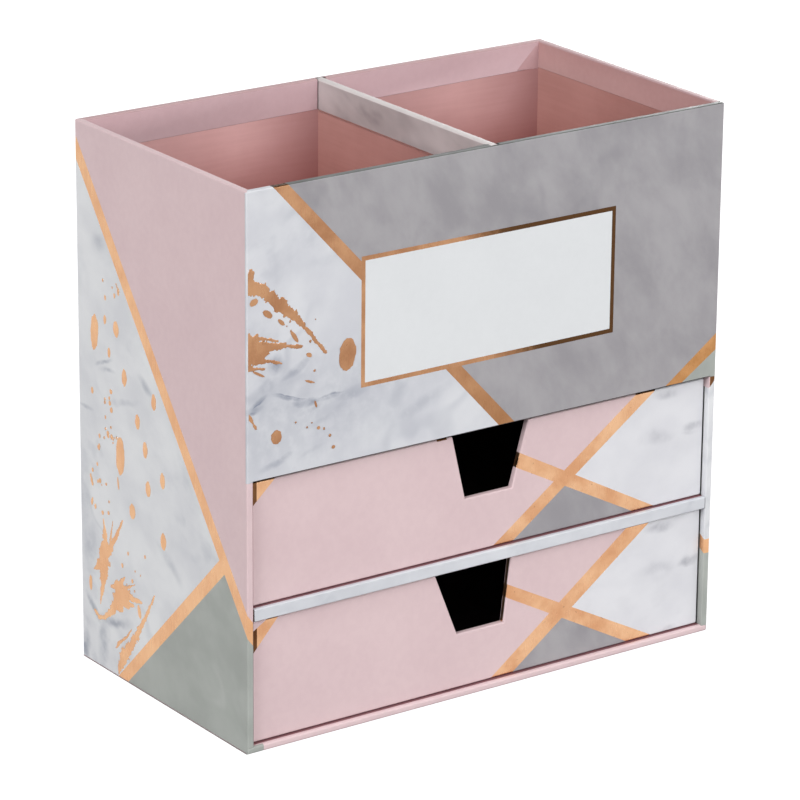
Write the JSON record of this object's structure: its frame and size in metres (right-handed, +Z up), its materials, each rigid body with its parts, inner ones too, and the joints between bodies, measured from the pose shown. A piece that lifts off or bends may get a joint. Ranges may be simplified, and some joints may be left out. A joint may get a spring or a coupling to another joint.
{
  "type": "desk organizer with drawers",
  "caption": "Upright rigid paper-wrapped box with open divided pen compartments over two stacked drawers that slide out by finger notches.",
  "frame": {"origin": "middle of the underside, at the level of the surface that it stands on", "axes": "+Z up, the drawers open towards -Y, +X to the right as seen from the front"},
  "size_m": [0.2, 0.107, 0.199],
  "materials": {
    "greyboard": "bare grey board, matt",
    "printed_outer_sheet": "satin printed paper, dusty pink with white and sage marble and rose gold stripes",
    "printed_fascia_sheet": "satin printed paper, white and grey marble with rose gold stripes",
    "printed_shelf_sheet": "satin printed paper, white marble",
    "printed_drawer_sheet": "satin printed paper, pink, white and grey marble blocks with rose gold stripes",
    "lining_sheet": "matt dusty rose lining paper"
  },
  "bodies": {
    "cabinet": {"left_side_board": "greyboard", "right_side_board": "greyboard", "back_board": "greyboard", "base_board": "greyboard", "shelf_lower_ply": "greyboard", "shelf_upper_ply": "greyboard", "compartment_floor_board": "greyboard", "fascia_board": "greyboard", "partition_board": "greyboard", "outer_wrap": "printed_outer_sheet", "fascia_wrap": "printed_fascia_sheet", "base_wrap": "printed_outer_sheet", "shelf_wrap": "printed_shelf_sheet", "partition_cap": "printed_fascia_sheet", "left_compartment_liner": "lining_sheet", "right_compartment_liner": "lining_sheet"},
    "upper_drawer": {"upper_drawer_front_board": "greyboard", "upper_drawer_back_board": "greyboard", "upper_drawer_left_board": "greyboard", "upper_drawer_right_board": "greyboard", "upper_drawer_bottom_board": "greyboard", "upper_drawer_wrap": "printed_drawer_sheet", "upper_drawer_liner": "lining_sheet"},
    "lower_drawer": {"lower_drawer_front_board": "greyboard", "lower_drawer_back_board": "greyboard", "lower_drawer_left_board": "greyboard", "lower_drawer_right_board": "greyboard", "lower_drawer_bottom_board": "greyboard", "lower_drawer_wrap": "printed_drawer_sheet", "lower_drawer_liner": "lining_sheet"}
  },
  "joints": [
    {"name": "upper_drawer_slide", "type": "slide", "parent": "cabinet", "child": "upper_drawer", "axis": [0, -1, 0], "range_m": [0, 0.085]},
    {"name": "lower_drawer_slide", "type": "slide", "parent": "cabinet", "child": "lower_drawer", "axis": [0, -1, 0], "range_m": [0, 0.085]}
  ]
}
